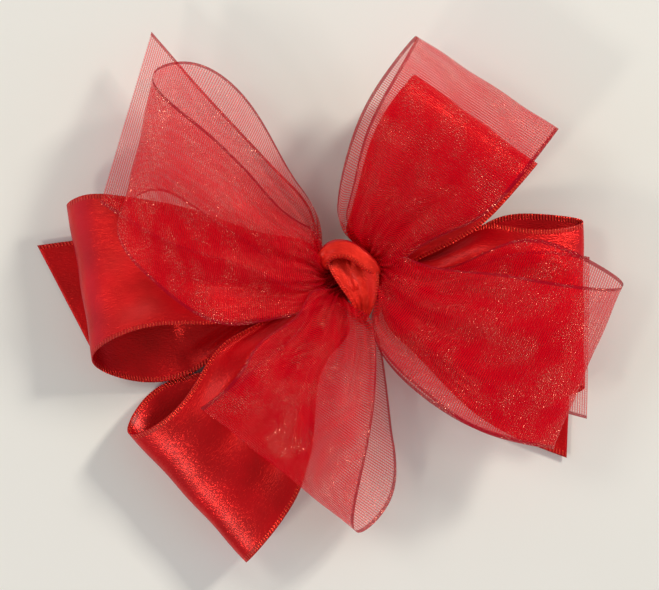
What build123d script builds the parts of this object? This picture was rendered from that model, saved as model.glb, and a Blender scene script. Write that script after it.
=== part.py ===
from build123d import *
from math import cos, radians, sin
import os

# A pre-made gift bow: a red satin ribbon bow under a sheer red organza ribbon bow,
# both pinched by a wire and dressed with a knotted satin strip.
# The bow lies on its back: +Z is up through the knot, +X is right, +Y is up the face,
# and the origin is the centre of the sticky pad's liner, where the bow meets the gift.
# All sizes are in millimetres.

# The ribbons, as gathered cloth.
SATIN_PLY = 0.5
ORGANZA_PLY = 0.4
STRIP_PLY = 0.3
STEPS_A_STRETCH = 4
LOOP_STRETCHES = 4
TAIL_STRETCHES = 1

# The two sides of the pinch that the ribbons leave from.
LEFT = -1
RIGHT = 1

# The two sides of the pinch that the strip wraps down.
LOWER = -1
UPPER = 1

# The sticky back.
LINER_THICKNESS = 0.25
LINER_TAB = 4.0
PAD_DIAMETER = 16.0
PAD_THICKNESS = 1.5

# The pinch: the ribbons run through it along PINCH_AZIMUTH, and the strip crosses it.
PINCH_AZIMUTH = 29.0
WAIST_LENGTH = 7.8
WAIST_WIDTH = 6.4
WAIST_HEIGHT = 3.0
WAIST_ROUNDING = 1.2
MOUTH = 4.4
WIRE_DIAMETER = 0.4
WIRE_SPACING = 1.2
STRIP_WIDTH = 6.0
STRIP_GAP = 0.4
STRIP_OVERLAP = 2.2
GLUE_DIAMETER = 4.0
GLUE_THICKNESS = 0.25

# Heights of the back of the bow, from the liner up.
PAD_TOP = LINER_THICKNESS + PAD_THICKNESS
GLUE_BOTTOM = PAD_TOP + STRIP_PLY
INNER_END_BOTTOM = GLUE_BOTTOM + GLUE_THICKNESS
WIRE_BOTTOM = INNER_END_BOTTOM + STRIP_PLY
SATIN_BOTTOM = WIRE_BOTTOM + WIRE_DIAMETER
ORGANZA_BOTTOM = SATIN_BOTTOM + WAIST_HEIGHT
ORGANZA_TOP = ORGANZA_BOTTOM + WAIST_HEIGHT
STRIP_TOP = ORGANZA_TOP + WIRE_DIAMETER + STRIP_PLY
KNOT_SPAN = 40.0

# Heights at which the ribbons leave the pinch, satin tail lowest and organza loops on top.
SATIN_TAIL_Z = 3.2
SATIN_LOOP_Z = (5.4, 4.2)
ORGANZA_TAIL_Z = 6.4
ORGANZA_LOOP_Z = (8.6, 7.4)


def at_pinch(along, across, z):
    """A point beside the pinch, from its distance along and across the gathered ribbons."""
    turn = radians(PINCH_AZIMUTH)
    x = along * cos(turn) - across * sin(turn)
    y = along * sin(turn) + across * cos(turn)
    return (x, y, z)


def ribbon(first_selvage, second_selvage, ply, stretches):
    """A length of ribbon between two selvages, each a smooth curve through its points.

    With the run going away and the first selvage on the right, the ply thickens upwards.
    Its faces are divided along the run into a few stretches.
    """
    first, second = Spline(*first_selvage), Spline(*second_selvage)
    steps = STEPS_A_STRETCH * stretches
    corners = []
    for step in range(steps + 1):
        near, far = first @ (step / steps), second @ (step / steps)
        run = first % (step / steps) + second % (step / steps)
        rise = run.cross(far - near).normalized() * ply
        corners.append((near, far, far + rise, near + rise))
    lines = [Edge.make_spline(list(line)) for line in zip(*corners)]
    faces = [Face(Wire.make_polygon(corners[0])), Face(Wire.make_polygon(corners[-1]))]
    for stretch in range(stretches):
        start, end = stretch / stretches, (stretch + 1) / stretches
        edges = [line.trim(start, end) for line in lines]
        for one, other in zip(edges, edges[1:] + edges[:1]):
            faces.append(Face.make_surface_from_curves(one, other))
    return Solid(Shell(faces))


def loop(side, across, leaves_at, north, south, ply):
    """A loop: out of the pinch over the top, round the fold and back underneath.

    Its points lie on the outside of the loop, and the ply thickens inwards.
    """
    near, far = across
    top, bottom = leaves_at
    north_selvage = [at_pinch(side * MOUTH, far, top), *north, at_pinch(side * MOUTH, far, bottom)]
    south_selvage = [at_pinch(side * MOUTH, near, top), *south, at_pinch(side * MOUTH, near, bottom)]
    if side == LEFT:
        return ribbon(south_selvage, north_selvage, ply, LOOP_STRETCHES)
    return ribbon(north_selvage, south_selvage, ply, LOOP_STRETCHES)


def tail(side, across, leaves_at, north, south, ply):
    """A tail: out of the pinch to its cut end. Its points lie on its underside."""
    near, far = across
    north_selvage = [at_pinch(side * MOUTH, far, leaves_at), *north]
    south_selvage = [at_pinch(side * MOUTH, near, leaves_at), *south]
    if side == LEFT:
        return ribbon(north_selvage, south_selvage, ply, TAIL_STRETCHES)
    return ribbon(south_selvage, north_selvage, ply, TAIL_STRETCHES)


def turned(solid):
    """A solid made across the pinch, turned to lie along it."""
    return Rot(0, 0, PINCH_AZIMUTH) * solid


def around_waist(clearance, drop=0):
    """The outline round the gathered plies, at a clearance, its back let down by a drop."""
    width = WAIST_WIDTH + 2 * clearance
    height = ORGANZA_TOP - SATIN_BOTTOM + 2 * clearance + drop
    middle = (ORGANZA_TOP + SATIN_BOTTOM - drop) / 2
    return Plane.YZ * Pos(0, middle) * RectangleRounded(width, height, WAIST_ROUNDING + clearance)


def waist(bottom):
    """One ribbon's share of the bundle of gathered plies inside the pinch."""
    bundle = extrude(around_waist(0), WAIST_LENGTH / 2, both=True)
    layer = Pos(0, 0, bottom + WAIST_HEIGHT / 2) * Box(2 * WAIST_LENGTH, 2 * WAIST_WIDTH, WAIST_HEIGHT)
    return turned(bundle & layer)


def wire_turn(along):
    """One turn of the binding wire, pulled tight round the gathered plies."""
    path = (Pos(along, 0, 0) * around_waist(WIRE_DIAMETER / 2)).wire()
    section = Plane(path @ 0, z_dir=path % 0) * Circle(WIRE_DIAMETER / 2)
    return turned(sweep(section, path=path))


def strip_half(side, drop):
    """Half of the strip, from under the knot round one side of the pinch, past the back's middle."""
    outside = around_waist(WIRE_DIAMETER + STRIP_PLY, drop)
    inside = around_waist(WIRE_DIAMETER, drop)
    band = extrude(outside - inside, STRIP_WIDTH / 2, both=True)
    size = 3 * WAIST_WIDTH
    other_side = Pos(0, side * (STRIP_GAP - size) / 2, ORGANZA_BOTTOM + size / 2) * Box(size, size, size)
    past_the_end = Pos(0, -side * (STRIP_OVERLAP + size / 2), 0) * Box(size, size, size)
    return turned(band - other_side - past_the_end)


def lobe(centre, azimuth, half_sizes):
    """A rounded lobe of the knot."""
    return Pos(*centre) * Rot(0, 0, azimuth) * scale(Sphere(1), by=half_sizes)


# Satin loops. Each list of points runs over the top from the pinch, round the fold and back.
satin_loop_left = loop(
    side=LEFT,
    across=(0.3, 4.0),
    leaves_at=SATIN_LOOP_Z,
    north=[
        (-15.7, 8.4, 10.5),
        (-33.8, 13.8, 15.0),
        (-50.0, 16.4, 14.5),
        (-61.0, 15.0, 8.5),
        (-54.0, 14.0, 3.6),
        (-36.0, 10.0, 3.0),
        (-16.0, 4.5, 3.8),
    ],
    south=[
        (-15.0, -7.0, 9.5),
        (-30.3, -10.6, 15.0),
        (-45.0, -11.5, 16.0),
        (-56.0, -18.5, 9.5),
        (-49.5, -22.6, 3.6),
        (-36.0, -21.8, 3.0),
        (-19.0, -10.5, 3.6),
    ],
    ply=SATIN_PLY,
)
satin_loop_lower_left = loop(
    side=LEFT,
    across=(-4.0, -0.3),
    leaves_at=SATIN_LOOP_Z,
    north=[
        (-14.0, -9.2, 8.0),
        (-28.2, -16.6, 12.5),
        (-38.5, -29.2, 13.5),
        (-48.6, -34.0, 7.5),
        (-44.5, -26.0, 2.6),
        (-30.5, -20.5, 2.3),
        (-14.5, -10.2, 3.0),
    ],
    south=[
        (-5.5, -17.0, 8.0),
        (-9.5, -33.0, 12.5),
        (-12.2, -48.0, 13.5),
        (-23.0, -62.0, 8.0),
        (-18.5, -56.5, 2.6),
        (-8.5, -36.0, 2.3),
        (-4.5, -17.0, 2.8),
    ],
    ply=SATIN_PLY,
)
satin_loop_upper_right = loop(
    side=RIGHT,
    across=(0.3, 4.0),
    leaves_at=SATIN_LOOP_Z,
    north=[
        (-0.9, 12.0, 8.0),
        (2.6, 25.0, 11.5),
        (8.5, 37.5, 12.5),
        (13.5, 43.4, 7.5),
        (8.8, 36.0, 3.4),
        (3.2, 24.0, 2.8),
        (0.0, 12.0, 3.6),
    ],
    south=[
        (13.0, 3.4, 8.5),
        (25.0, 9.4, 12.0),
        (34.6, 17.8, 13.0),
        (39.8, 23.8, 8.5),
        (34.2, 17.6, 4.2),
        (24.4, 9.6, 3.6),
        (13.0, 3.8, 4.0),
    ],
    ply=SATIN_PLY,
)
satin_loop_right = loop(
    side=RIGHT,
    across=(-4.0, -0.3),
    leaves_at=SATIN_LOOP_Z,
    north=[
        (13.5, 1.2, 7.0),
        (27.0, 8.0, 9.5),
        (40.2, 9.6, 10.5),
        (50.0, 11.8, 6.0),
        (42.8, 13.2, 3.0),
        (29.5, 10.6, 2.8),
        (13.8, 1.2, 3.2),
    ],
    south=[
        (13.0, -9.0, 7.0),
        (28.0, -18.0, 10.0),
        (41.0, -22.0, 11.0),
        (50.0, -24.5, 6.5),
        (42.0, -27.0, 2.8),
        (28.0, -22.0, 2.6),
        (13.0, -10.0, 3.0),
    ],
    ply=SATIN_PLY,
)

# Satin tails, flat under the loops, with slanting cut ends.
satin_tail_left = tail(
    side=LEFT,
    across=(-2.2, 2.2),
    leaves_at=SATIN_TAIL_Z,
    north=[(-18.0, 4.0, 1.1), (-42.0, 7.6, 1.0), (-67.7, 6.5, 0.9)],
    south=[(-18.0, -8.5, 1.1), (-38.0, -15.5, 0.9), (-54.0, -21.0, 0.7)],
    ply=SATIN_PLY,
)
satin_tail_right = tail(
    side=RIGHT,
    across=(-2.2, 2.2),
    leaves_at=SATIN_TAIL_Z,
    north=[(18.0, 2.0, 1.1), (34.0, 3.0, 1.0), (48.5, 1.5, 0.9)],
    south=[(12.0, -15.5, 1.1), (27.0, -30.3, 0.9), (46.7, -39.8, 0.7)],
    ply=SATIN_PLY,
)

# Organza loops, leaning over the satin ones.
organza_loop_upper_left = loop(
    side=LEFT,
    across=(0.5, 4.6),
    leaves_at=ORGANZA_LOOP_Z,
    north=[
        (-13.0, 11.0, 17.0),
        (-22.5, 22.0, 24.0),
        (-33.0, 32.0, 26.0),
        (-42.5, 43.5, 18.5),
        (-36.0, 45.8, 14.0),
        (-22.0, 37.0, 12.0),
        (-11.5, 20.0, 11.2),
    ],
    south=[
        (-15.0, -5.2, 15.0),
        (-27.0, -10.0, 21.0),
        (-41.7, -2.1, 24.0),
        (-49.8, 11.5, 21.8),
        (-43.2, 17.8, 19.6),
        (-32.0, 13.0, 18.8),
        (-18.0, 3.5, 15.2),
    ],
    ply=ORGANZA_PLY,
)
organza_loop_bottom = loop(
    side=LEFT,
    across=(-4.6, -0.5),
    leaves_at=ORGANZA_LOOP_Z,
    north=[
        (-11.5, -8.2, 15.0),
        (-20.0, -14.6, 20.0),
        (-25.8, -22.8, 23.0),
        (-32.6, -28.5, 19.0),
        (-26.5, -24.5, 16.8),
        (-19.0, -18.0, 15.8),
        (-11.0, -10.5, 12.5),
    ],
    south=[
        (1.2, -15.0, 15.5),
        (3.2, -26.0, 21.0),
        (2.2, -40.0, 23.0),
        (1.2, -55.2, 15.5),
        (8.0, -49.0, 9.5),
        (9.0, -36.0, 7.0),
        (3.6, -17.0, 8.0),
    ],
    ply=ORGANZA_PLY,
)
organza_loop_upper_right = loop(
    side=RIGHT,
    across=(0.5, 4.2),
    leaves_at=ORGANZA_LOOP_Z,
    north=[
        (-0.8, 16.0, 17.0),
        (2.2, 28.5, 23.5),
        (8.5, 41.5, 25.5),
        (13.5, 51.0, 20.0),
        (6.8, 43.0, 16.0),
        (0.2, 30.0, 15.5),
        (-2.2, 15.0, 12.5),
    ],
    south=[
        (13.0, 4.8, 14.5),
        (25.5, 11.0, 20.0),
        (37.0, 22.5, 22.5),
        (43.8, 31.0, 18.0),
        (37.0, 22.0, 16.4),
        (25.5, 11.2, 15.8),
        (13.0, 4.6, 11.8),
    ],
    ply=ORGANZA_PLY,
)
organza_loop_right = loop(
    side=RIGHT,
    across=(-4.6, -0.5),
    leaves_at=ORGANZA_LOOP_Z,
    north=[
        (15.0, 0.5, 15.0),
        (30.0, -0.5, 21.0),
        (45.0, -2.0, 23.8),
        (57.8, -1.8, 17.0),
        (50.3, 3.5, 15.2),
        (35.0, 7.5, 15.0),
        (16.0, 1.8, 12.0),
    ],
    south=[
        (8.5, -12.0, 15.0),
        (17.0, -24.0, 20.6),
        (29.0, -32.0, 23.2),
        (42.8, -36.8, 16.5),
        (33.0, -35.2, 14.6),
        (21.0, -29.2, 14.0),
        (9.5, -15.0, 11.5),
    ],
    ply=ORGANZA_PLY,
)

# Organza tails, each between its satin loop and its organza loop.
organza_tail_left = tail(
    side=LEFT,
    across=(0.3, 4.0),
    leaves_at=ORGANZA_TAIL_Z,
    north=[(-14.5, 20.5, 8.2), (-31.2, 38.5, 10.0), (-43.4, 52.5, 9.0)],
    south=[(-20.0, 0.0, 13.8), (-38.0, 6.0, 17.8), (-54.0, 15.3, 16.8)],
    ply=ORGANZA_PLY,
)
organza_tail_right = tail(
    side=RIGHT,
    across=(-4.0, -0.3),
    leaves_at=ORGANZA_TAIL_Z,
    north=[(15.0, 0.3, 9.4), (33.0, 4.2, 12.2), (50.9, 3.9, 12.0)],
    south=[(11.0, -12.0, 9.2), (30.0, -24.0, 12.0), (50.5, -31.0, 9.5)],
    ply=ORGANZA_PLY,
)

# The pinch: two gathered bundles, the wire that binds them and the strip that hides it.
satin_waist = waist(SATIN_BOTTOM)
organza_waist = waist(ORGANZA_BOTTOM)
binding_wire = Compound([wire_turn(-WIRE_SPACING / 2), wire_turn(WIRE_SPACING / 2)])
strip_upper_half = strip_half(UPPER, 0)
strip_lower_half = strip_half(LOWER, STRIP_PLY + GLUE_THICKNESS)
glue_dab = Pos(0, 0, GLUE_BOTTOM + GLUE_THICKNESS / 2) * Cylinder(GLUE_DIAMETER / 2, GLUE_THICKNESS)

# The knot in the strip: a fat roll over the top and a lobe that tucks away below it.
roll = lobe((-0.4, 1.9, 12.3), 20, (5.6, 3.6, 3.0))
tuck = lobe((1.0, -3.4, 11.6), -62, (5.8, 2.8, 2.4))
under_the_knot = Pos(0, 0, STRIP_TOP - KNOT_SPAN / 2) * Box(KNOT_SPAN, KNOT_SPAN, KNOT_SPAN)
knot = roll + tuck - under_the_knot

# The sticky back: a foam pad on a liner whose tab sticks out to be peeled.
pad_middle = LINER_THICKNESS + PAD_THICKNESS / 2
foam_pad = Pos(0, 0, pad_middle) * Cylinder(PAD_DIAMETER / 2, PAD_THICKNESS)
liner_disc = Cylinder(PAD_DIAMETER / 2, LINER_THICKNESS)
liner_tab = Pos(0, -PAD_DIAMETER / 2, 0) * Box(2 * LINER_TAB, 2 * LINER_TAB, LINER_THICKNESS)
liner = Pos(0, 0, LINER_THICKNESS / 2) * (liner_disc + liner_tab)

pieces = {
    "satin_loop_left": satin_loop_left,
    "satin_loop_lower_left": satin_loop_lower_left,
    "satin_loop_upper_right": satin_loop_upper_right,
    "satin_loop_right": satin_loop_right,
    "satin_tail_left": satin_tail_left,
    "satin_tail_right": satin_tail_right,
    "satin_waist": satin_waist,
    "organza_loop_upper_left": organza_loop_upper_left,
    "organza_loop_bottom": organza_loop_bottom,
    "organza_loop_upper_right": organza_loop_upper_right,
    "organza_loop_right": organza_loop_right,
    "organza_tail_left": organza_tail_left,
    "organza_tail_right": organza_tail_right,
    "organza_waist": organza_waist,
    "binding_wire": binding_wire,
    "strip_upper_half": strip_upper_half,
    "strip_lower_half": strip_lower_half,
    "knot": knot,
    "glue_dab": glue_dab,
    "foam_pad": foam_pad,
    "liner": liner,
}
os.makedirs("parts", exist_ok=True)
for name, piece in pieces.items():
    export_step(piece, f"parts/{name}.step")
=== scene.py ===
# %% [markdown]
# # A pre-made gift bow
# Two ribbons, red satin below and sheer red organza above, are folded into loops, pinched by a
# wire and dressed with a knotted satin strip. The CAD model holds the sizes and the joints. This
# notebook makes the cloth: how it gathers, how it is woven and how it takes the light.

# %% Load the frame
from math import cos, pi, radians, sin

import bmesh
import bpy
import numpy as np
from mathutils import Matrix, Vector


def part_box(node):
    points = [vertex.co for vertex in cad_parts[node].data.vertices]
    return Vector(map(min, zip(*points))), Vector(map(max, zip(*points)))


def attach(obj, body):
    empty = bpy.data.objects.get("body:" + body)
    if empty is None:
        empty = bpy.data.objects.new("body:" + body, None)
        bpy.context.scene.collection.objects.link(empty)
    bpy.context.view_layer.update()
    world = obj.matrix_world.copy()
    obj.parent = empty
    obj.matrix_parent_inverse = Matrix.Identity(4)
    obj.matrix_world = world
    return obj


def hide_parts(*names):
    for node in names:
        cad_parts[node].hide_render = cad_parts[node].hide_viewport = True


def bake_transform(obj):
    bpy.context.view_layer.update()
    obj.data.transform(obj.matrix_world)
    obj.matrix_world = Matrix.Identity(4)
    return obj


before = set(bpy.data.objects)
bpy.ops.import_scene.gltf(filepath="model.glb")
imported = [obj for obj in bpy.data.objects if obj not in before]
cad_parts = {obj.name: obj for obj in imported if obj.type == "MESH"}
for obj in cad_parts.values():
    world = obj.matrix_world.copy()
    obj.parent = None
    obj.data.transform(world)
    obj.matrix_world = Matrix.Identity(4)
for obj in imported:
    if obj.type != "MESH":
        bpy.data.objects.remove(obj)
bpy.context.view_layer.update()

MM = 0.001

# %% [markdown]
# The bow lies on its back on a table, and is looked at from straight above. A short lens close by
# would make the high loops look swollen beside the low ones. So the camera is far off with a long
# lens, and the lens is worked out from the width it should see.

# %% Table and camera
CAMERA_HEIGHT = 800 * MM
CAMERA_SIDEWAYS = -5.0 * MM
CAMERA_UPWARDS = -4.3 * MM
VIEW_WIDTH = 141.7 * MM
FOCUS_HEIGHT = 12 * MM
SENSOR_WIDTH = 36.0
TABLE_SIZE = 3.0

camera_data = bpy.data.cameras.new("camera")
camera_data.sensor_width = SENSOR_WIDTH
camera_data.lens = SENSOR_WIDTH * (CAMERA_HEIGHT - FOCUS_HEIGHT) / VIEW_WIDTH
camera = bpy.data.objects.new("camera", camera_data)
camera.location = (CAMERA_SIDEWAYS, CAMERA_UPWARDS, CAMERA_HEIGHT)
bpy.context.collection.objects.link(camera)
bpy.context.scene.camera = camera
print("lens", round(camera_data.lens, 1), "mm")


def new_piece(name, mesh_builder, materials):
    """An object at the origin from a bmesh, smooth-shaded, with its materials."""
    mesh = bpy.data.meshes.new(name)
    mesh_builder.to_mesh(mesh)
    mesh_builder.free()
    for material in materials:
        mesh.materials.append(material)
    mesh.polygons.foreach_set("use_smooth", [True] * len(mesh.polygons))
    piece = bpy.data.objects.new(name, mesh)
    bpy.context.collection.objects.link(piece)
    return piece


# %% [markdown]
# Every finish is made of nodes. They could be set up line by line, but one small helper that
# adds a node, sets it and links its inputs keeps each finish readable. Colours are written as
# they look on a screen, and one function turns them to linear light.

# %% Colour and node helpers
def linear(hex_colour):
    """Linear RGBA from an sRGB hex colour."""
    channels = [int(hex_colour[i : i + 2], 16) / 255 for i in (0, 2, 4)]
    low, high = 12.92, 1.055
    light = [c / low if c <= 0.04045 else ((c + 0.055) / high) ** 2.4 for c in channels]
    return (*light, 1.0)


def add_node(material, kind, links=None, values=None, **settings):
    """A shader node with its settings, its input values and its incoming links."""
    node = material.node_tree.nodes.new("ShaderNode" + kind)
    for name, setting in settings.items():
        setattr(node, name, setting)
    for name, value in (values or {}).items():
        node.inputs[name].default_value = value
    for name, source in (links or {}).items():
        material.node_tree.links.new(source, node.inputs[name])
    return node


def blank_material(name):
    """A material with nothing but its output."""
    material = bpy.data.materials.new(name)
    material.use_nodes = True
    material.node_tree.nodes.clear()
    return material, add_node(material, "OutputMaterial")


# %% [markdown]
# The table is matt laminate, pressed from printed paper and resin, so it is off-white with a
# faint mottle and a broad, soft sheen. One flat square is enough, because only the shadows that
# fall on it matter.

# %% Table top
def matt_laminate():
    material, output = blank_material("matt_laminate")
    place = add_node(material, "TexCoord").outputs["Object"]
    mottle = add_node(
        material, "TexNoise", {"Vector": place}, {"Scale": 14.0, "Detail": 3.0}
    )
    tint = add_node(material, "ValToRGB", {"Fac": mottle.outputs["Fac"]})
    tint.color_ramp.elements[0].color = linear("f0efe6")
    tint.color_ramp.elements[1].color = linear("f6f5ed")
    surface = add_node(
        material,
        "BsdfPrincipled",
        {"Base Color": tint.outputs["Color"]},
        {"Roughness": 0.55, "IOR": 1.5},
    )
    material.node_tree.links.new(surface.outputs[0], output.inputs["Surface"])
    return material


table_mesh = bmesh.new()
bmesh.ops.create_grid(table_mesh, x_segments=1, y_segments=1, size=TABLE_SIZE / 2)
table = new_piece("table_top", table_mesh, [matt_laminate()])

# %% [markdown]
# The light is soft room light: a warm lamp high on the right, a second one on the left, a low one
# in front, and a cool window's glow from both sides. A single large light would be simpler, but
# crossing shadows and the satin's bright bands need lamps of their own.

# %% Lights
def area_light(name, colour, power, size, place, target=(0, 0, 0)):
    light_data = bpy.data.lights.new(name, "AREA")
    light_data.color = linear(colour)[:3]
    light_data.energy = power
    light_data.size = size
    light = bpy.data.objects.new(name, light_data)
    light.location = place
    direction = Vector(target) - Vector(place)
    light.rotation_euler = direction.to_track_quat("-Z", "Y").to_euler()
    bpy.context.collection.objects.link(light)
    return light


area_light("lamp_right", "fff9ef", 7.3, 0.17, (0.74, 0.56, 0.62))
area_light("lamp_left", "fffcf6", 1.7, 0.30, (-0.62, 0.34, 0.80))
area_light("lamp_front", "fff6ea", 2.0, 0.12, (-0.55, -0.55, 0.66))
area_light("window_left", "b4c4ff", 2.4, 0.8, (-1.10, -0.10, 0.38))
area_light("window_right", "b4c4ff", 2.0, 0.8, (1.10, -0.30, 0.38))

world = bpy.data.worlds.new("room")
world.use_nodes = True
world.node_tree.nodes["Background"].inputs["Color"].default_value = linear("fdfdfb")
world.node_tree.nodes["Background"].inputs["Strength"].default_value = 0.30
bpy.context.scene.world = world
bpy.context.scene.view_settings.view_transform = "Standard"

# %% [markdown]
# Each edge of a satin ribbon is a woven selvedge with a regular stitch. It could be modelled as a
# row of tiny threads, but bumps are enough at this size, with a painted highlight: the crest of
# each stitch is tinted a lighter orange for the light it catches. The pattern reads the ribbon's
# own UV map, which is in millimetres: the first number runs along the ribbon and the second across
# it.

# %% Selvedge
RIBBON_WIDTH = 35.0  # a trade size, near the 34 mm that the laid ribbons average
FLOAT_LENGTH = 0.9
FLOAT_WIDTH = 0.30  # drawn about three times as coarse as the thread
STITCH_PITCH = 0.66
SELVEDGE_WIDTH = 1.2
STITCH_HEIGHT = 0.15


def edge_band(material, across, width, band):
    """1 within a band of either edge of a ribbon and 0 elsewhere, with a soft step."""
    from_middle = add_node(material, "Math", {0: across}, {1: width / 2}, operation="SUBTRACT")
    distance = add_node(material, "Math", {0: from_middle.outputs[0]}, operation="ABSOLUTE")
    return add_node(
        material,
        "MapRange",
        {"Value": distance.outputs[0]},
        {"From Min": width / 2 - band, "From Max": width / 2 - 0.8 * band},
    ).outputs[0]


def selvedge_stitch(material, uv, width, border):
    """A wave along the ribbon for the stitches, kept to the two borders."""
    separate = add_node(material, "SeparateXYZ", {0: uv})
    selvedge = edge_band(material, separate.outputs["Y"], width, border)
    turn = add_node(
        material,
        "Math",
        {0: separate.outputs["X"]},
        {1: 2 * pi / STITCH_PITCH},
        operation="MULTIPLY",
    )
    wave = add_node(material, "Math", {0: turn.outputs[0]}, operation="SINE")
    return add_node(
        material, "Math", {0: wave.outputs[0], 1: selvedge}, operation="MULTIPLY"
    ).outputs[0]


print("stitches every", STITCH_PITCH, "mm in a border of", SELVEDGE_WIDTH, "mm")

# %% [markdown]
# Satin is polyester woven so that long warp floats lie on the face. They make it glossy across
# the run, with a grain of tiny dashes where the floats catch the light. A plain glossy red would
# look like plastic, so the floats give the gloss and the bump, and slow slubs vary the dye.

# %% Satin
def polyester_satin(name, width, face, shade, dash, border, relief):
    material, output = blank_material(name)
    uv = add_node(material, "UVMap").outputs["UV"]
    threads = add_node(
        material, "Mapping", {"Vector": uv}, {"Scale": (1 / dash, 1 / FLOAT_WIDTH, 1.0)}
    )
    floats = add_node(
        material, "TexNoise", {"Vector": threads.outputs[0]}, {"Scale": 1.0, "Detail": 3.0}
    )
    slubs = add_node(material, "TexNoise", {"Vector": uv}, {"Scale": 0.12, "Detail": 2.0})
    tint = add_node(material, "ValToRGB", {"Fac": slubs.outputs["Fac"]})
    tint.color_ramp.elements[0].position = 0.3
    tint.color_ramp.elements[0].color = linear(shade)
    tint.color_ramp.elements[1].position = 0.7
    tint.color_ramp.elements[1].color = linear(face)

    stitch = selvedge_stitch(material, uv, width, border)
    # Painted highlight: the crest of each stitch is tinted a lighter orange, standing in for the
    # light the stitches catch.
    stitch_painted_highlight = add_node(
        material,
        "MapRange",
        {"Value": stitch},
        {"From Min": 0.2, "From Max": 0.9, "To Max": 0.75},
    )
    colour = add_node(
        material,
        "Mix",
        {0: stitch_painted_highlight.outputs[0], 6: tint.outputs["Color"]},
        {7: linear("e8482c")},
        data_type="RGBA",
    )

    weave_bump = add_node(
        material,
        "Bump",
        {"Height": floats.outputs["Fac"]},
        {"Strength": 1.0, "Distance": relief * MM},
    )
    stitch_bump = add_node(
        material,
        "Bump",
        {"Height": stitch, "Normal": weave_bump.outputs[0]},
        {"Strength": 0.8, "Distance": STITCH_HEIGHT * MM},
    )
    gloss = add_node(
        material,
        "MapRange",
        {"Value": floats.outputs["Fac"]},
        {"From Min": 0.3, "From Max": 0.7, "To Min": 0.15, "To Max": 0.26},
    )
    surface = add_node(
        material,
        "BsdfPrincipled",
        {
            "Base Color": colour.outputs[2],
            "Roughness": gloss.outputs[0],
            "Normal": stitch_bump.outputs[0],
        },
        {
            "IOR": 1.55,
            "Anisotropic": 0.45,
            "Specular IOR Level": 1.0,
            "Specular Tint": linear("ff6444"),
            "Metallic": 0.28,
            "Coat Weight": 0.16,
            "Coat Roughness": 0.30,
            "Sheen Weight": 0.20,
            "Sheen Roughness": 0.35,
            "Sheen Tint": linear("ff1080"),
        },
    )
    material.node_tree.links.new(surface.outputs[0], output.inputs["Surface"])
    return material


satin = polyester_satin(
    "woven_polyester_satin", RIBBON_WIDTH, "da0618", "bc0412", FLOAT_LENGTH, SELVEDGE_WIDTH, 0.15
)
print("satin floats drawn", FLOAT_LENGTH, "by", FLOAT_WIDTH, "mm")

# %% [markdown]
# Organza is a plain weave of fine, stiff nylon threads with gaps between them. Modelling each
# thread would take millions of faces. From a distance it is a red veil: part of the light goes
# straight through the gaps and the rest meets thread. So the weave is drawn as a map of how much
# thread covers each place, with crossing waves for the threads and dense edges.

# %% Organza weave
THREAD_PITCH = 0.50  # drawn about twice as coarse as the thread
VEIL = 0.50  # about how much of the cloth is thread
DENSE_EDGE = 0.8


def thread_wave(material, coordinate, pitch):
    """A wave from 0 to 1 with one crest for each thread."""
    turn = add_node(material, "Math", {0: coordinate}, {1: 2 * pi / pitch}, operation="MULTIPLY")
    wave = add_node(material, "Math", {0: turn.outputs[0]}, operation="SINE")
    return add_node(
        material, "MapRange", {"Value": wave.outputs[0]}, {"From Min": -1.0, "From Max": 1.0}
    ).outputs[0]


def thread_cover(material, uv):
    """How much of each place is thread, and where the selvedges are."""
    separate = add_node(material, "SeparateXYZ", {0: uv})
    warp = thread_wave(material, separate.outputs["Y"], THREAD_PITCH)
    weft = thread_wave(material, separate.outputs["X"], THREAD_PITCH)
    thin_warp = add_node(material, "Math", {0: warp}, {1: 0.6}, operation="MULTIPLY")
    crossed = {0: thin_warp.outputs[0], 1: weft}
    mesh = add_node(material, "Math", crossed, operation="MAXIMUM").outputs[0]
    veil = add_node(
        material,
        "MapRange",
        {"Value": mesh},
        {"From Min": 0.1, "From Max": 1.0, "To Min": VEIL - 0.30, "To Max": VEIL + 0.24},
    ).outputs[0]
    selvedge = edge_band(material, separate.outputs["Y"], RIBBON_WIDTH, DENSE_EDGE)
    edge_cover = add_node(material, "Math", {0: selvedge}, {1: 0.85}, operation="MULTIPLY")
    cover = add_node(
        material,
        "Math",
        {0: veil, 1: edge_cover.outputs[0]},
        operation="MAXIMUM",
        use_clamp=True,
    ).outputs[0]
    return cover, selvedge


print("organza threads drawn every", THREAD_PITCH, "mm")

# %% [markdown]
# Organza sparkles where threads lie at the lamp's angle. Light could be left to find them, but
# real threads are too fine to show one by one. So the flecks are drawn: glossy facets about a
# quarter of a millimetre across, thick in some areas of the cloth and missing in others.

# %% Organza sparkle
def thread_glints(material, uv):
    """A glossy finish for the flecks, and a map of where they are."""
    facets = add_node(material, "TexNoise", {"Vector": uv}, {"Scale": 2.8, "Detail": 0.0})
    facet_bump = add_node(
        material,
        "Bump",
        {"Height": facets.outputs["Fac"]},
        {"Strength": 1.0, "Distance": 0.70 * MM},
    )
    glint = add_node(
        material,
        "BsdfGlossy",
        {"Normal": facet_bump.outputs[0]},
        {"Color": linear("ff9c84"), "Roughness": 0.22},
    )
    specks = add_node(material, "TexNoise", {"Vector": uv}, {"Scale": 4.2, "Detail": 0.0})
    speck = add_node(
        material,
        "MapRange",
        {"Value": specks.outputs["Fac"]},
        {"From Min": 0.56, "From Max": 0.66},
    )
    areas = add_node(material, "TexNoise", {"Vector": uv}, {"Scale": 0.16, "Detail": 1.0})
    area = add_node(
        material,
        "MapRange",
        {"Value": areas.outputs["Fac"]},
        {"From Min": 0.42, "From Max": 0.62},
    )
    shine = add_node(
        material, "Math", {0: speck.outputs[0], 1: area.outputs[0]}, operation="MULTIPLY"
    )
    return glint.outputs[0], shine.outputs[0]


# %% [markdown]
# The thread itself is glossy nylon that glows when lit from behind. The finish mixes thread with
# sparkle, and then with nothing at all where the weave has gaps, so shadows are veils too.

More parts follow.
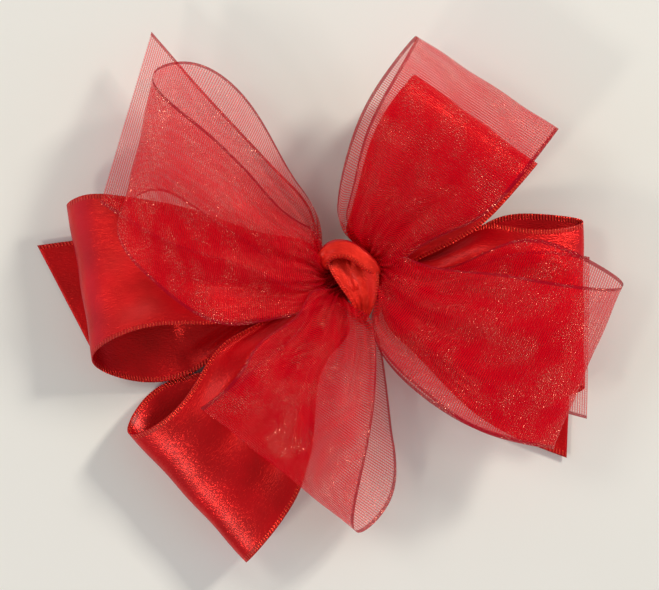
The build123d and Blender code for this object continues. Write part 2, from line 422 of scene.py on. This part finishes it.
# %% Organza
def nylon_organza():
    material, output = blank_material("woven_nylon_organza")
    uv = add_node(material, "UVMap").outputs["UV"]
    cover, selvedge = thread_cover(material, uv)
    flecks = add_node(material, "TexNoise", {"Vector": uv}, {"Scale": 2.6, "Detail": 1.0})
    bump = add_node(
        material,
        "Bump",
        {"Height": flecks.outputs["Fac"]},
        {"Strength": 1.0, "Distance": 0.20 * MM},
    )
    dye = add_node(material, "ValToRGB", {"Fac": selvedge})
    dye.color_ramp.elements[0].color = linear("ee0624")
    dye.color_ramp.elements[1].color = linear("b20a26")
    thread = add_node(
        material,
        "BsdfPrincipled",
        {"Base Color": dye.outputs["Color"], "Normal": bump.outputs[0]},
        {
            "Roughness": 0.16,
            "IOR": 1.53,
            "Specular IOR Level": 0.6,
            "Specular Tint": linear("ff6a54"),
        },
    )
    glow = add_node(material, "BsdfTranslucent", {"Color": dye.outputs["Color"]})
    cloth = add_node(material, "MixShader", {1: thread.outputs[0], 2: glow.outputs[0]}, {0: 0.28})
    glint, shine = thread_glints(material, uv)
    lit = add_node(material, "MixShader", {0: shine, 1: cloth.outputs[0], 2: glint})
    gap = add_node(material, "BsdfTransparent")
    veil_mix = add_node(material, "MixShader", {0: cover, 1: gap.outputs[0], 2: lit.outputs[0]})
    material.node_tree.links.new(veil_mix.outputs[0], output.inputs["Surface"])
    return material


organza = nylon_organza()
print("organza is", organza.name)

# %% [markdown]
# The wire pinches both ribbons in one line that lies aslant, and every loop and tail starts
# there. A selvedge is stiff, so between the few points that are set for it, it takes the smooth
# curve of a springy strip. That is a natural cubic spline, which is solved here with numpy.

# %% Pinch and selvedges
PINCH_AZIMUTH = radians(29.0)
MOUTH = 4.4
INSIDE_PINCH = 1.0
LEFT, RIGHT = -1, 1


def at_pinch(along, across, height):
    """A point beside the pinch, in millimetres, from its distance along and across the plies."""
    x = along * cos(PINCH_AZIMUTH) - across * sin(PINCH_AZIMUTH)
    y = along * sin(PINCH_AZIMUTH) + across * cos(PINCH_AZIMUTH)
    return (x, y, height)


def smooth_curve(points, count):
    """Evenly timed samples of the natural cubic spline through the points."""
    knots = np.array(points, float)
    gaps = np.linalg.norm(np.diff(knots, axis=0), axis=1)
    times = np.concatenate([[0], np.cumsum(gaps)])
    last = len(knots) - 1
    system = np.eye(last + 1)
    slopes = np.zeros_like(knots)
    for i in range(1, last):
        system[i, i - 1 : i + 2] = gaps[i - 1], 2 * (gaps[i - 1] + gaps[i]), gaps[i]
        steeper = (knots[i + 1] - knots[i]) / gaps[i] - (knots[i] - knots[i - 1]) / gaps[i - 1]
        slopes[i] = 6 * steeper
    bends = np.linalg.solve(system, slopes)
    when = np.linspace(0, times[-1], count)
    span = np.clip(np.searchsorted(times, when, side="right") - 1, 0, last - 1)
    before = (when - times[span])[:, None]
    after = (times[span + 1] - when)[:, None]
    gap = gaps[span][:, None]
    cubic = bends[span] * after**3 + bends[span + 1] * before**3
    line = (knots[span] / gap - bends[span] * gap / 6) * after
    line += (knots[span + 1] / gap - bends[span + 1] * gap / 6) * before
    return cubic / (6 * gap) + line


print("pinch lies at", round(PINCH_AZIMUTH * 180 / pi), "degrees")

# %% [markdown]
# A ribbon is a flat strip before it is tied, so each length starts as a flat grid with the
# ribbon's own millimetres as its UV map. The grid is then carried to where the cloth goes, between
# its two selvedges, and a function says how far the cloth stands off that smooth shape. A cloth
# simulation could be used instead, but a formula keeps the sharp folds where they are put.

# %% Laying a ribbon
def lay_ribbon(name, one_selvedge, other_selvedge, material, width, gather, fineness=(130, 90)):
    """A ribbon between two selvedges, gathered by a function of its place on the cloth."""
    along_steps, across_steps = fineness
    one = smooth_curve(one_selvedge, along_steps + 1)
    other = smooth_curve(other_selvedge, along_steps + 1)
    share = np.linspace(0, 1, across_steps + 1)
    cloth = one[:, None] * (1 - share)[None, :, None] + other[:, None] * share[None, :, None]
    middle = (one + other) / 2
    steps = np.linalg.norm(np.diff(middle, axis=0), axis=1)
    run = np.concatenate([[0], np.cumsum(steps)])
    along_way, across_way = np.gradient(cloth, axis=0), np.gradient(cloth, axis=1)
    outwards = np.cross(along_way, across_way)
    outwards /= np.linalg.norm(outwards, axis=2, keepdims=True)
    spread = np.linalg.norm(one - other, axis=1)
    cloth += outwards * gather(run[:, None], run[-1], share, spread[:, None])[:, :, None]

    strip = bmesh.new()
    uv = strip.loops.layers.uv.new("UVMap")
    bmesh.ops.create_grid(
        strip, x_segments=along_steps, y_segments=across_steps, size=0.5, calc_uvs=True
    )
    for face in strip.faces:
        for corner in face.loops:
            step = round((corner.vert.co.x + 0.5) * along_steps)
            corner[uv].uv = (run[step], (corner.vert.co.y + 0.5) * width)
    for vert in strip.verts:
        step = round((vert.co.x + 0.5) * along_steps)
        row = round((vert.co.y + 0.5) * across_steps)
        vert.co = cloth[step, row] * MM
    piece = new_piece(name, strip, [material])
    area = sum(face.area for face in piece.data.polygons) / MM**2
    widest = spread.max()
    print(name, "is", round(run[-1]), "by at most", round(widest), "mm,", round(area), "mm2")
    return piece, run[-1]


# %% [markdown]
# The pinch holds more cloth than it has room for, so the cloth gathers into pleats that are
# sharp there and die away towards the fold. Their depth follows from how much wider the cloth is
# than the room it has. A slow rumple over the rest keeps the cloth from looking like sheet metal.

# %% Pleats
PLEAT_REACH = 11.0
UNDER_REACH = 18.0
DEEPEST_PLEAT = 1.1
PRESSED_FLAT = (0.45, 0.90)
UNDERSIDE = (0.5, 0.6)
DRIFT = 0.03
RUMPLE = 0.22


def soft_step(value, start, end):
    """0 before start, 1 after end and smooth between them."""
    part = np.clip((value - start) / (end - start), 0, 1)
    return part * part * (3 - 2 * part)


def pleats(ends, fine_count, broad_count, phase, fullness=0.9):
    """How far gathered cloth stands off its smooth shape, in millimetres.

    The cloth is wider than the room between its selvedges, and a share of the spare width, its
    fullness, goes into pleats: many fine ones at the pinch, and a few broad ones further out,
    which are pressed flat at a loop's fold and at a tail's end.
    """

    def depth(spread, count):
        times_wider = 1 + fullness * np.maximum(RIBBON_WIDTH - spread, 0) / spread
        wave = spread / (4 * count) * np.sqrt(times_wider**2 - 1)
        return np.minimum(wave, DEEPEST_PLEAT)

    def stand_off(run, length, share, spread):
        under = soft_step(run / length, *UNDERSIDE) if ends == 2 else 0.0
        away = np.minimum(run, length - run) if ends == 2 else run
        far = away / (length / ends)
        near = np.exp(-away / (PLEAT_REACH + UNDER_REACH * under))
        flat = soft_step(far, *PRESSED_FLAT)
        drift = share + DRIFT * np.sin(run / 17 + 5 * phase)
        fine = depth(spread, fine_count) * np.sin(2 * pi * (fine_count * drift + phase))
        broad = depth(spread, broad_count) * np.sin(2 * pi * (broad_count * drift + 2.7 * phase))
        rumple = RUMPLE * np.sin(run / 6.1 + 9 * share + 11 * phase)
        rumple = rumple * np.sin(7 * share - run / 11 + 4 * phase)
        return (near * fine + (1 - near) * broad) * (1 - flat) + (1 - near) * rumple

    return stand_off


# %% [markdown]
# A loop bulges beside the knot before it dives into the pinch. The selvedges get one more point
# there for that puff, and two inside the pinch.

# %% Puffs and roots
PUFF = 2.6
PUFF_PLACE = 0.35
PUFF_RISE = 1.4


def bring_to_pinch(side, across, heights, north, south):
    """Selvedges of a loop or tail, brought through a puff beside the knot into the pinch."""
    near, far = across
    ends = [list(north), list(south)]
    for height, at_end in zip(heights, (0, -1)):
        sideways = (Vector(ends[0][at_end]) - Vector(ends[1][at_end])).normalized() * PUFF
        for line, offset, way in zip(ends, (far, near), (1, -1)):
            inside, mouth = [at_pinch(side * d, offset, height) for d in (INSIDE_PINCH, MOUTH)]
            puff = Vector(mouth).lerp(Vector(line[at_end]), PUFF_PLACE) + way * sideways
            puff.z += PUFF_RISE * (at_end == 0 and len(heights) == 2)
            root = [inside, mouth, tuple(puff)]
            line[:] = root + line if at_end == 0 else line + root[::-1]
    return ends


def cloth_thickness(piece, thickness):
    """Gives a strip its thickness, half to each side, so that its edges can be seen."""
    solidify = piece.modifiers.new("thickness", "SOLIDIFY")
    solidify.thickness = thickness
    solidify.offset = 0


def tie_in(piece, node):
    """Bakes a ribbon's place into its mesh and hides the CAD part it replaces."""
    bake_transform(piece)
    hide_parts(node)


# %% [markdown]
# Four satin loops lie in two pairs, all of one ribbon. Every loop goes out of the pinch over the
# top, turns at its fold and comes back underneath, nearer the table. Each could be bent from a
# straight strip, but the folds lie aslant, so both selvedges are given by a few points instead.

# %% Satin loops
SATIN_LOOP_HEIGHTS = (5.4, 4.2)
SATIN_THICKNESS = 0.22
UPPER_MOUTH = (0.3, 4.0)
LOWER_MOUTH = (-4.0, -0.3)

satin_loops = {
    "satin_loop_left": {
        "side": LEFT,
        "body": "left_loops",
        "across": UPPER_MOUTH,
        "rests_on": ["satin_loop_lower_left"],
        "pleats": pleats(2, 7, 2.0, 0.15),
        "north": [(-15.7, 8.4, 10.5), (-33.8, 13.8, 15), (-50, 17, 14.8), (-58.5, 17, 12.3)]
        + [(-61.8, 15, 8), (-54, 14, 3.6), (-36, 10, 3), (-16, 4.5, 3.8)],
        "south": [(-15.5, -8.6, 9.8), (-30.3, -10.6, 15), (-45, -11.5, 16), (-56, -18.5, 9.5)]
        + [(-49.5, -22.6, 3.6), (-36, -21.8, 3), (-19, -10.5, 3.6)],
    },
    "satin_loop_lower_left": {
        "side": LEFT,
        "body": "lower_left_loops",
        "across": LOWER_MOUTH,
        "rests_on": ["table_top"],
        "pleats": pleats(2, 8, 3.0, 0.62),
        "north": [(-14, -5.8, 8), (-28.2, -15.0, 12.5), (-38.5, -29.2, 13.5), (-48.6, -34, 7.5)]
        + [(-44.5, -26, 2.6), (-30.5, -20.5, 2.3), (-14.5, -10.2, 3)],
        "south": [(-5.5, -17, 8), (-9.5, -33, 12.5), (-12.2, -48, 13.5), (-23, -62, 8)]
        + [(-18.5, -56.5, 2.6), (-8.5, -36, 2.3), (-4.5, -17, 2.8)],
    },
    "satin_loop_upper_right": {
        "side": RIGHT,
        "body": "upper_right_loops",
        "across": UPPER_MOUTH,
        "rests_on": ["satin_loop_right"],
        "pleats": pleats(2, 7, 2.5, 0.40),
        "north": [(-0.9, 12, 8), (2.6, 25, 11.5), (8.5, 37.5, 12.5), (13.5, 43.4, 7.5)]
        + [(8.8, 36, 3.4), (3.2, 24, 2.8), (0, 12, 3.6)],
        "south": [(13, 2.6, 8.5), (25, 8.8, 12), (34.6, 17.8, 13), (39.8, 23.8, 8.5)]
        + [(34.2, 17.6, 4.2), (24.4, 9.6, 3.6), (13, 3.8, 4)],
    },
    "satin_loop_right": {
        "side": RIGHT,
        "body": "right_loops",
        "across": LOWER_MOUTH,
        "rests_on": ["table_top"],
        "pleats": pleats(2, 8, 2.5, 0.85),
        "north": [(13.5, 5.0, 7), (27, 10.6, 9.5), (40.2, 9.8, 10.5), (50, 11.8, 6)]
        + [(42.8, 13.2, 3), (29.5, 11.6, 2.8), (13.8, 4.0, 3.2)],
        "south": [(11, -12.5, 7), (28, -19, 10), (41, -22, 11), (50, -24.5, 6.5)]
        + [(42, -27, 2.8), (28, -22, 2.6), (11, -13, 3)],
    },
}


def make_ribbons(patterns, heights, material, thickness=0.0):
    """Lays, ties in and measures every ribbon of a set of patterns."""
    for name, pattern in patterns.items():
        selvedges = bring_to_pinch(
            pattern["side"], pattern["across"], heights, pattern["north"], pattern["south"]
        )
        piece, length = lay_ribbon(
            name + "_cloth", *selvedges, material, RIBBON_WIDTH, pattern["pleats"]
        )
        if thickness:
            cloth_thickness(piece, thickness * MM)
        tie_in(piece, name)


make_ribbons(satin_loops, SATIN_LOOP_HEIGHTS, satin, SATIN_THICKNESS)

# %% [markdown]
# Each end of the satin is a tail that lies flat on the table under the loops, cut on a slant. It
# is laid as the loops are, with three points for a selvedge. The slant of the cut comes from
# selvedges of different lengths, which saves cutting the mesh.

# %% Satin tails
SATIN_TAIL_HEIGHTS = (3.2,)
TAIL_MOUTH = (-2.2, 2.2)

satin_tails = {
    "satin_tail_left": {
        "side": LEFT,
        "body": "left_tail",
        "across": TAIL_MOUTH,
        "rests_on": ["table_top"],
        "pleats": pleats(1, 13, 13, 0.30),
        "north": [(-18, 4, 1.35), (-42, 7.6, 1.25), (-68.7, 6.5, 1.15)],
        "south": [(-18, -8.5, 1.35), (-38, -15.8, 1.15), (-54.6, -20.6, 0.95)],
    },
    "satin_tail_right": {
        "side": RIGHT,
        "body": "right_tail",
        "across": TAIL_MOUTH,
        "rests_on": ["table_top"],
        "pleats": pleats(1, 13, 13, 0.70),
        "north": [(18, 2, 1.35), (34, 3, 1.25), (48.5, 1.5, 1.15)],
        "south": [(12, -15.5, 1.35), (27, -30.3, 1.15), (46.7, -39.8, 0.95)],
    },
}
make_ribbons(satin_tails, SATIN_TAIL_HEIGHTS, satin, SATIN_THICKNESS)

# %% [markdown]
# The organza loops lean over the satin ones and stand much higher, because the stiff cloth
# springs open. Thickness would give every veil two skins and hide too much light, so these
# ribbons stay single surfaces. Each tail lies between a satin loop and an organza one.

# %% Organza loops and tails
ORGANZA_LOOP_HEIGHTS = (8.6, 7.4)
ORGANZA_TAIL_HEIGHTS = (6.4,)

organza_loops = {
    "organza_loop_upper_left": {
        "side": LEFT,
        "body": "left_loops",
        "across": (0.5, 4.6),
        "rests_on": ["organza_tail_left"],
        "pleats": pleats(2, 8, 3.0, 0.10),
        "north": [(-12.6, 12, 17), (-22.5, 22, 24), (-33, 32, 26), (-42.5, 43.5, 18.5)]
        + [(-36, 45.8, 14), (-22, 37, 12), (-11.5, 20, 11.2)],
        "south": [(-17.5, -9.5, 15), (-28, -10.5, 21), (-41.7, -2.1, 24), (-49.8, 11.5, 21.8)]
        + [(-43.2, 17.8, 19.6), (-32, 13, 18.8), (-18, 3.5, 15.2)],
    },
    "organza_loop_bottom": {
        "side": LEFT,
        "body": "lower_left_loops",
        "across": (-4.6, -0.5),
        "rests_on": ["satin_loop_lower_left"],
        "pleats": pleats(2, 8, 3.0, 0.45),
        "north": [(-11.5, -8.2, 15), (-20, -14.6, 20), (-25.8, -22.8, 23), (-32.6, -28.5, 19)]
        + [(-26.5, -24.5, 16.8), (-19, -18, 15.8), (-11, -10.5, 12.5)],
        "south": [(4.6, -13.5, 14.5), (4.6, -26, 21), (2.4, -40, 23), (1.2, -55.2, 15.5)]
        + [(8, -49, 9.5), (9, -36, 7), (6.4, -17, 8)],
    },
    "organza_loop_upper_right": {
        "side": RIGHT,
        "body": "upper_right_loops",
        "across": (0.5, 4.2),
        "rests_on": ["satin_loop_upper_right"],
        "pleats": pleats(2, 8, 3.0, 0.80),
        "north": [(-0.8, 16, 17), (2.2, 28.5, 23.5), (8.5, 41.5, 25.5), (13.5, 51, 20)]
        + [(6.8, 43, 16), (0.0, 30, 15.5), (-3.4, 15, 12.5)],
        "south": [(13, 4.8, 14.5), (25.5, 11, 20), (37, 22.5, 22.5), (43.8, 31, 18)]
        + [(37, 22, 16.4), (25.5, 11.2, 15.8), (13, 4.6, 11.8)],
    },
    "organza_loop_right": {
        "side": RIGHT,
        "body": "right_loops",
        "across": (-4.6, -0.5),
        "rests_on": ["organza_tail_right"],
        "pleats": pleats(2, 8, 3.0, 0.25),
        "north": [(14, 2.8, 15), (30, 0.2, 21), (45, -2, 23.8), (57.8, -1.8, 17)]
        + [(50.3, 3.5, 15.2), (35, 7.5, 15), (16, 1.8, 12)],
        "south": [(5.2, -14, 13.5), (17, -26.5, 20.6), (29, -34, 23.2), (42.8, -37.2, 16.5)]
        + [(33, -35.2, 14.6), (19.5, -29.4, 14), (5.8, -16.5, 11.5)],
    },
}
organza_tails = {
    "organza_tail_left": {
        "side": LEFT,
        "body": "left_loops",
        "across": UPPER_MOUTH,
        "rests_on": ["satin_loop_left"],
        "pleats": pleats(1, 9, 4.0, 0.55),
        "north": [(-14.5, 20.5, 8.4), (-31.2, 38.5, 10.2), (-43.4, 52.5, 9.2)],
        "south": [(-20, 0, 14), (-38, 6, 18), (-54, 15.3, 17)],
    },
    "organza_tail_right": {
        "side": RIGHT,
        "body": "right_loops",
        "across": LOWER_MOUTH,
        "rests_on": ["satin_loop_right"],
        "pleats": pleats(1, 9, 4.0, 0.95),
        "north": [(15, 0.3, 9.6), (33, 4.2, 12.4), (50.9, 3.9, 12.2)],
        "south": [(11, -12, 9.4), (30, -24, 12.2), (50.5, -31, 9.7)],
    },
}
make_ribbons(organza_loops, ORGANZA_LOOP_HEIGHTS, organza)
make_ribbons(organza_tails, ORGANZA_TAIL_HEIGHTS, organza)

# %% [markdown]
# Inside the pinch each ribbon is squeezed like a fan. Every loop could be carried right through,
# but they would cross there. So a short length of each ribbon is folded to and fro like an
# accordion, and only its edges show, at the mouths where the loops begin.

# %% Gathers inside the pinch
GATHER_LENGTH = 10.4
GATHER_WIDTH = 5.6
GATHER_HEIGHT = 2.3
GATHER_FOLDS = 7
GATHER_LIFT = 1.5
STEPS_PER_FOLD = 12


def gather(name, material, bottom, height, slot, node):
    fan = bmesh.new()
    uv = fan.loops.layers.uv.new("UVMap")
    rows = STEPS_PER_FOLD * GATHER_FOLDS
    bmesh.ops.create_grid(
        fan, x_segments=STEPS_PER_FOLD, y_segments=rows, size=0.5, calc_uvs=True
    )
    for face in fan.faces:
        for corner in face.loops:
            place = corner.vert.co
            corner[uv].uv = ((place.x + 0.5) * GATHER_LENGTH, (place.y + 0.5) * RIBBON_WIDTH)
    for vert in fan.verts:
        rise = sin(2 * pi * GATHER_FOLDS * vert.co.y) * height / 2
        along, across = vert.co.x * GATHER_LENGTH, vert.co.y * GATHER_WIDTH
        vert.co = Vector(at_pinch(along, across, bottom + GATHER_LIFT + rise)) * MM
    piece = new_piece(name, fan, [material])
    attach(piece, "centre")
    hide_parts(node)
    print(name, "has", GATHER_FOLDS, "folds")


gather("satin_gather", satin, 3.0, GATHER_HEIGHT, "satin", "satin_waist")
gather("organza_gather", organza, 6.0, GATHER_HEIGHT, "organza", "organza_waist")

# %% [markdown]
# A narrow satin strip hides the wire. It goes round the pinch, is tied in a fat knot on top and
# is glued to itself at the back. One length tied in a true knot would need a long simulation, so
# the parts that show are laid one by one: the roll, the tuck below it and the strip round the
# pinch. Each is the same kind of ribbon, cushioned or creased by its own section. Their satin is
# the ribbon's red with a painted highlight: lighter, more orange colours for the light the knot
# catches.

# %% Strip's cloth
STRIP_RIBBON = 10.0
STRIP_GRID = (90, 60)
# Painted highlight: the strip is the same red satin, given lighter, more orange colours for the
# light the raised knot catches.
knot_satin_painted_highlight = polyester_satin(
    "polyester_satin_painted_lighter", STRIP_RIBBON, "fa3426", "e01c16", 0.5, 0.5, 0.24
)


def crowned(height, fullness, folds, depth, phase):
    """A band's cushioned section with pleats that run along it."""

    def stand_off(run, length, share, spread):
        arch = height * np.sin(pi * share) ** fullness
        ends = np.sin(pi * np.clip(run / length, 0, 1)) ** 0.35
        return arch * ends + depth * np.sin(2 * pi * (folds * share + phase + 0.02 * run))

    return stand_off


def centre_cloth(name, one, other, shape, nodes, rests_on):
    piece, length = lay_ribbon(name, one, other, knot_satin_painted_highlight, STRIP_RIBBON, shape, STRIP_GRID)
    cloth_thickness(piece, SATIN_THICKNESS * MM)
    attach(piece, "centre")
    if nodes:
        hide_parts(*nodes)


print("strip is", STRIP_RIBBON, "mm wide before it is folded")

# %% [markdown]
# The roll goes over the top of the knot and the tuck comes out from under it. The strip's wrap
# is a closed turn about the pinch, which lies along the same slanting line.

# %% Knot and strip
ROLL_BACK = [(-5.4, 2.6, 9.0), (-6.4, 5.2, 9.2), (-5.0, 6.6, 9.3), (-2.5, 7.0, 9.3)]
ROLL_BACK = ROLL_BACK + [(0.8, 5.9, 9.3), (3.9, 3.4, 9.2), (6.2, 1.2, 9.0)]
ROLL_FRONT = [(-4.4, 1.4, 9.2), (-4.9, 2.6, 11.2), (-3.6, 3.4, 12.2), (-1.6, 3.4, 12.3)]
ROLL_FRONT = ROLL_FRONT + [(0.6, 2.2, 12.0), (2.6, 0.9, 11.4), (5.2, -0.4, 9.6)]
centre_cloth(
    "knot_roll",
    ROLL_FRONT,
    ROLL_BACK,
    crowned(2.6, 0.5, 2, 0.20, 0.1),
    ["knot"],
    ["organza_gather"],
)
TUCK_LEFT = [(-3.7, 5.9, 9.3), (-5.2, 2.4, 11.4), (-3.8, -0.8, 11.3), (-1.9, -3.6, 10.8)]
TUCK_LEFT = TUCK_LEFT + [(0.0, -6.4, 10.2), (1.2, -8.9, 9.0)]
TUCK_RIGHT = [(4.7, 3.2, 9.3), (5.6, 0.2, 11.4), (5.5, -2.6, 11.3), (5.0, -5.2, 10.8)]
TUCK_RIGHT = TUCK_RIGHT + [(4.1, -7.6, 10.2), (2.8, -9.8, 9.0)]
centre_cloth(
    "knot_tuck", TUCK_RIGHT, TUCK_LEFT, crowned(1.6, 0.5, 3, 0.18, 0.3), [], ["organza_gather"]
)

WRAP = [(0.0, 9.6), (-3.0, 9.5), (-3.8, 8.5), (-3.8, 3.4), (-3.0, 2.45), (0.0, 2.4)]
WRAP = WRAP + [(3.0, 2.0), (3.85, 3.2), (3.8, 8.5), (3.0, 9.5), (0.2, 9.6)]
WRAP_ENDS = [[at_pinch(along, across, z) for across, z in WRAP] for along in (-3.0, 3.0)]
centre_cloth(
    "knot_strip",
    *WRAP_ENDS,
    crowned(0.0, 1.0, 5, 0.2, 0.0),
    ["strip_upper_half", "strip_lower_half"],
    ["binding_wire"],
)

# %% [markdown]
# The bow is stuck down by a disc of closed-cell foam on a paper liner. The foam is punched from a
# sheet, so its faces are flat and its rim is a little rounded. It is too stiff to need a
# simulation: a circle is pulled up into a disc and its two edges are bevelled.

# %% Foam
def foam_finish():
    material, output = blank_material("closed_cell_polyethylene_foam")
    place = add_node(material, "TexCoord").outputs["Object"]
    cells = add_node(material, "TexVoronoi", {"Vector": place}, {"Scale": 1 / (0.5 * MM)})
    tint = add_node(material, "ValToRGB", {"Fac": cells.outputs["Distance"]})
    tint.color_ramp.elements[0].color = linear("f4f2ec")
    tint.color_ramp.elements[1].color = linear("dcd8ce")
    bump = add_node(
        material,
        "Bump",
        {"Height": cells.outputs["Distance"]},
        {"Strength": 0.6, "Distance": 0.2 * MM},
    )
    surface = add_node(
        material,
        "BsdfPrincipled",
        {"Base Color": tint.outputs["Color"], "Normal": bump.outputs[0]},
        {"Roughness": 0.8, "IOR": 1.5},
    )
    material.node_tree.links.new(surface.outputs[0], output.inputs["Surface"])
    return material


low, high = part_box("foam_pad")
foam = bmesh.new()
bmesh.ops.create_circle(foam, cap_ends=True, segments=96, radius=(high[0] - low[0]) / 2)
bmesh.ops.translate(foam, verts=foam.verts, vec=(0, 0, low[2]))
top = bmesh.ops.extrude_face_region(foam, geom=foam.faces[:])
top_verts = [item for item in top["geom"] if isinstance(item, bmesh.types.BMVert)]
bmesh.ops.translate(foam, verts=top_verts, vec=(0, 0, high[2] - low[2]))
rims = [edge for edge in foam.edges if len(edge.link_faces) == 2 and edge.calc_face_angle() > 1]
bmesh.ops.bevel(
    foam, geom=rims, offset=0.3 * MM, segments=3, profile=0.5, affect="EDGES", material=-1
)
bmesh.ops.recalc_face_normals(foam, faces=foam.faces)
pad = new_piece("foam_disc", foam, [foam_finish()])
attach(pad, "centre")
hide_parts("foam_pad")
print("foam disc", [round(side / MM, 1) for side in pad.dimensions], "mm")

# %% [markdown]
# The wire, the glue and the liner could be modelled again, but they have the right shapes in the
# CAD model. So each keeps its mesh and only gets its finish: drawn steel, cloudy hot-melt glue
# and waxed paper. Steel wire shines evenly along its length, the glue lets some light in, and the
# waxed paper has a soft sheen. All three have two close colours and a fine grain, so one function
# makes them.

# %% Finishes for the wire, the glue and the liner
def plain_finish(name, light, dark, scale, depth, **surface_values):
    """A finish with two close colours and a fine unevenness of that size in millimetres."""
    material, output = blank_material(name)
    place = add_node(material, "TexCoord").outputs["Object"]
    grain = add_node(material, "TexNoise", {"Vector": place}, {"Scale": 1 / (scale * MM)})
    tint = add_node(material, "ValToRGB", {"Fac": grain.outputs["Fac"]})
    tint.color_ramp.elements[0].color = linear(dark)
    tint.color_ramp.elements[1].color = linear(light)
    bump = add_node(
        material,
        "Bump",
        {"Height": grain.outputs["Fac"]},
        {"Strength": 0.5, "Distance": depth * MM},
    )
    values = {key.replace("_", " ").title(): value for key, value in surface_values.items()}
    surface = add_node(
        material,
        "BsdfPrincipled",
        {"Base Color": tint.outputs["Color"], "Normal": bump.outputs[0]},
        values,
    )
    material.node_tree.links.new(surface.outputs[0], output.inputs["Surface"])
    return material


finishes = {
    "binding_wire": plain_finish(
        "drawn_steel_wire", "c9cbcf", "9a9da3", 0.6, 0.01, metallic=1.0, roughness=0.3
    ),
    "glue_dab": plain_finish(
        "hot_melt_glue", "efe7d2", "dfd3b8", 1.5, 0.1, roughness=0.25, transmission_weight=0.3
    ),
    "liner": plain_finish("waxed_kraft_paper", "f1efe8", "e4e0d6", 0.4, 0.02, roughness=0.45),
}
for name, finish in finishes.items():
    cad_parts[name].data.materials.clear()
    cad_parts[name].data.materials.append(finish)
    print(name, "has", finish.name)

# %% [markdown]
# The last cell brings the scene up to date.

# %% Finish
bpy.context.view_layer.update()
